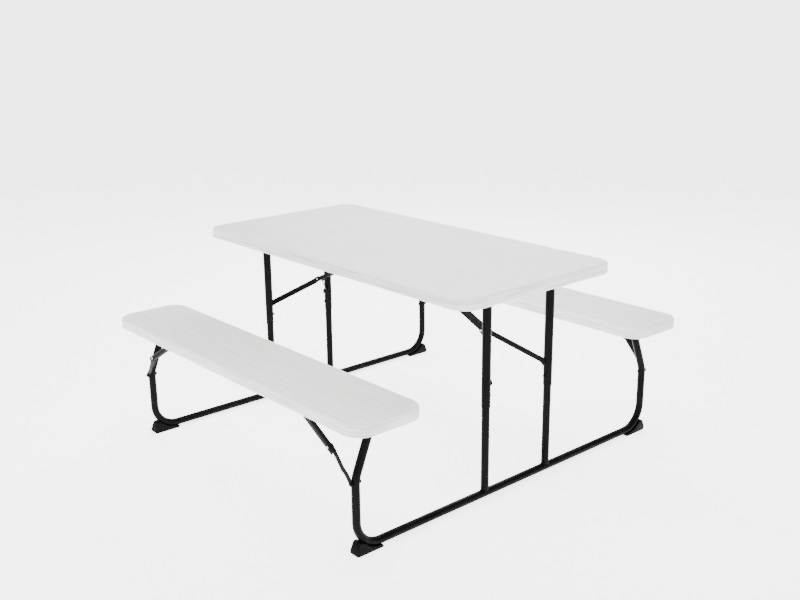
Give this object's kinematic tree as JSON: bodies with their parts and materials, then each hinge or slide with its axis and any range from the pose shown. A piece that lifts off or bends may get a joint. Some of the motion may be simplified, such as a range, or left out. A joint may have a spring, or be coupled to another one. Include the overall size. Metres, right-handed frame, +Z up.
{
  "type": "folding picnic table",
  "caption": "Folding picnic table with two attached benches: the table top drops level with the benches and both end frames fold flat under the panels.",
  "frame": {"origin": "floor centre under the table top", "axes": "+Z up; X runs along the panels and benches; Y runs across, from the front bench to the rear bench"},
  "size_m": [1.372, 1.462, 0.706],
  "materials": {
    "panel_plastic": "off-white blow-moulded polyethylene with a fine wood-grain emboss",
    "black_steel": "black powder coat on steel tube, semi-gloss",
    "black_plastic": "black moulded polyethylene",
    "bright_steel": "zinc-plated steel fasteners"
  },
  "bodies": {
    "benches": {"bench_panel_front": "panel_plastic", "bench_panel_rear": "panel_plastic", "bench_rail_front_inner": "black_steel", "bench_rail_front_outer": "black_steel", "bench_rail_rear_inner": "black_steel", "bench_rail_rear_outer": "black_steel", "bench_screws": "bright_steel", "bench_pivot_axles": "black_steel", "bench_brace_brackets": "black_steel", "bracket_rivets": "black_steel"},
    "table_top": {"table_panel": "panel_plastic", "table_rail_front": "black_steel", "table_rail_rear": "black_steel", "table_crossbar": "black_steel", "brace_hanger": "black_steel", "hanger_pins": "black_steel", "table_pivot_bolts": "black_steel", "table_screws": "bright_steel"},
    "leg_frame_left": {"base_tube_left": "black_steel", "inner_post_left_front": "black_steel", "inner_post_left_rear": "black_steel", "bench_pivot_bars_left": "black_steel", "feet_left": "black_plastic", "brace_bolts_left": "black_steel", "button_springs_left": "bright_steel"},
    "upper_posts_left": {"table_pivot_bar_left": "black_steel", "outer_post_left_front": "black_steel", "outer_post_left_rear": "black_steel", "arm_pivot_rivets_left": "black_steel"},
    "centre_link_left": {"centre_link_left": "black_steel"},
    "brace_arms_left": {"brace_arm_left_front": "black_steel", "brace_arm_left_rear": "black_steel"},
    "bench_channel_left_front": {"bench_channel_left_front": "black_steel"},
    "bench_bar_left_front": {"bench_bar_left_front": "black_steel"},
    "snap_button_left_front": {"snap_button_left_front": "black_steel"},
    "bench_channel_left_rear": {"bench_channel_left_rear": "black_steel"},
    "bench_bar_left_rear": {"bench_bar_left_rear": "black_steel"},
    "snap_button_left_rear": {"snap_button_left_rear": "black_steel"},
    "leg_frame_right": {"base_tube_right": "black_steel", "inner_post_right_front": "black_steel", "inner_post_right_rear": "black_steel", "bench_pivot_bars_right": "black_steel", "feet_right": "black_plastic", "brace_bolts_right": "black_steel", "button_springs_right": "bright_steel"},
    "upper_posts_right": {"table_pivot_bar_right": "black_steel", "outer_post_right_front": "black_steel", "outer_post_right_rear": "black_steel", "arm_pivot_rivets_right": "black_steel"},
    "centre_link_right": {"centre_link_right": "black_steel"},
    "brace_arms_right": {"brace_arm_right_front": "black_steel", "brace_arm_right_rear": "black_steel"},
    "bench_channel_right_front": {"bench_channel_right_front": "black_steel"},
    "bench_bar_right_front": {"bench_bar_right_front": "black_steel"},
    "snap_button_right_front": {"snap_button_right_front": "black_steel"},
    "bench_channel_right_rear": {"bench_channel_right_rear": "black_steel"},
    "bench_bar_right_rear": {"bench_bar_right_rear": "black_steel"},
    "snap_button_right_rear": {"snap_button_right_rear": "black_steel"}
  },
  "joints": [
    {"name": "height", "type": "slide", "parent": "benches", "child": "table_top", "axis": [0, 0, -1], "range_m": [0, 0.268]},
    {"name": "fold_left", "type": "hinge", "parent": "benches", "child": "leg_frame_left", "pos_m": [-0.584, 0, 0.4045], "axis": [0, -1, 0], "range_deg": [0, 87.55]},
    {"name": "telescope_left", "type": "slide", "parent": "leg_frame_left", "child": "upper_posts_left", "axis": [0, 0, -1], "range_m": [0, 0.268]},
    {"name": "centre_link_pivot_left", "type": "hinge", "parent": "table_top", "child": "centre_link_left", "pos_m": [-0.024, 0, 0.6775], "axis": [0, 1, 0], "range_deg": [0, 24.25]},
    {"name": "arm_pivot_left", "type": "hinge", "parent": "upper_posts_left", "child": "brace_arms_left", "pos_m": [-0.584, 0, 0.384], "axis": [0, -1, 0], "range_deg": [0, 50.81]},
    {"name": "bench_channel_pivot_left_front", "type": "hinge", "parent": "benches", "child": "bench_channel_left_front", "pos_m": [-0.379, -0.6855, 0.39], "axis": [0, 1, 0], "range_deg": [0, 28.45]},
    {"name": "bench_bar_pivot_left_front", "type": "hinge", "parent": "leg_frame_left", "child": "bench_bar_left_front", "pos_m": [-0.584, -0.674, 0.226], "axis": [0, -1, 0], "range_deg": [0, 49.51]},
    {"name": "button_press_left_front", "type": "slide", "parent": "upper_posts_left", "child": "snap_button_left_front", "axis": [0, -1, 0], "range_m": [0, 0.004], "stiffness_N_per_m": 600, "springref_m": -0.002},
    {"name": "bench_channel_pivot_left_rear", "type": "hinge", "parent": "benches", "child": "bench_channel_left_rear", "pos_m": [-0.379, 0.6855, 0.39], "axis": [0, 1, 0], "range_deg": [0, 28.45]},
    {"name": "bench_bar_pivot_left_rear", "type": "hinge", "parent": "leg_frame_left", "child": "bench_bar_left_rear", "pos_m": [-0.584, 0.674, 0.226], "axis": [0, -1, 0], "range_deg": [0, 49.51]},
    {"name": "button_press_left_rear", "type": "slide", "parent": "upper_posts_left", "child": "snap_button_left_rear", "axis": [0, 1, 0], "range_m": [0, 0.004], "stiffness_N_per_m": 600, "springref_m": -0.002},
    {"name": "fold", "type": "hinge", "parent": "benches", "child": "leg_frame_right", "pos_m": [0.584, 0, 0.4045], "axis": [0, 1, 0], "range_deg": [0, 87.55]},
    {"name": "telescope_right", "type": "slide", "parent": "leg_frame_right", "child": "upper_posts_right", "axis": [0, 0, -1], "range_m": [0, 0.268]},
    {"name": "centre_link_pivot_right", "type": "hinge", "parent": "table_top", "child": "centre_link_right", "pos_m": [0.024, 0, 0.6775], "axis": [0, -1, 0], "range_deg": [0, 24.25]},
    {"name": "arm_pivot_right", "type": "hinge", "parent": "upper_posts_right", "child": "brace_arms_right", "pos_m": [0.584, 0, 0.384], "axis": [0, 1, 0], "range_deg": [0, 50.81]},
    {"name": "bench_channel_pivot_right_front", "type": "hinge", "parent": "benches", "child": "bench_channel_right_front", "pos_m": [0.379, -0.6855, 0.39], "axis": [0, -1, 0], "range_deg": [0, 28.45]},
    {"name": "bench_bar_pivot_right_front", "type": "hinge", "parent": "leg_frame_right", "child": "bench_bar_right_front", "pos_m": [0.584, -0.674, 0.226], "axis": [0, 1, 0], "range_deg": [0, 49.51]},
    {"name": "button_press_right_front", "type": "slide", "parent": "upper_posts_right", "child": "snap_button_right_front", "axis": [0, -1, 0], "range_m": [0, 0.004], "stiffness_N_per_m": 600, "springref_m": -0.002},
    {"name": "bench_channel_pivot_right_rear", "type": "hinge", "parent": "benches", "child": "bench_channel_right_rear", "pos_m": [0.379, 0.6855, 0.39], "axis": [0, -1, 0], "range_deg": [0, 28.45]},
    {"name": "bench_bar_pivot_right_rear", "type": "hinge", "parent": "leg_frame_right", "child": "bench_bar_right_rear", "pos_m": [0.584, 0.674, 0.226], "axis": [0, 1, 0], "range_deg": [0, 49.51]},
    {"name": "button_press_right_rear", "type": "slide", "parent": "upper_posts_right", "child": "snap_button_right_rear", "axis": [0, 1, 0], "range_m": [0, 0.004], "stiffness_N_per_m": 600, "springref_m": -0.002}
  ],
  "couplings": [
    {"joint": "fold_left", "follows": "fold", "ratio": 1},
    {"joint": "telescope_left", "follows": "height", "ratio": 1},
    {"joint": "centre_link_pivot_left", "follows": "fold", "ratio": 0.27694},
    {"joint": "arm_pivot_left", "follows": "fold", "ratio": 0.58037},
    {"joint": "bench_channel_pivot_left_front", "follows": "fold", "ratio": 0.32499},
    {"joint": "bench_bar_pivot_left_front", "follows": "fold", "ratio": 0.56547},
    {"joint": "bench_channel_pivot_left_rear", "follows": "fold", "ratio": 0.32499},
    {"joint": "bench_bar_pivot_left_rear", "follows": "fold", "ratio": 0.56547},
    {"joint": "telescope_right", "follows": "height", "ratio": 1},
    {"joint": "centre_link_pivot_right", "follows": "fold", "ratio": 0.27694},
    {"joint": "arm_pivot_right", "follows": "fold", "ratio": 0.58037},
    {"joint": "bench_channel_pivot_right_front", "follows": "fold", "ratio": 0.32499},
    {"joint": "bench_bar_pivot_right_front", "follows": "fold", "ratio": 0.56547},
    {"joint": "bench_channel_pivot_right_rear", "follows": "fold", "ratio": 0.32499},
    {"joint": "bench_bar_pivot_right_rear", "follows": "fold", "ratio": 0.56547}
  ]
}
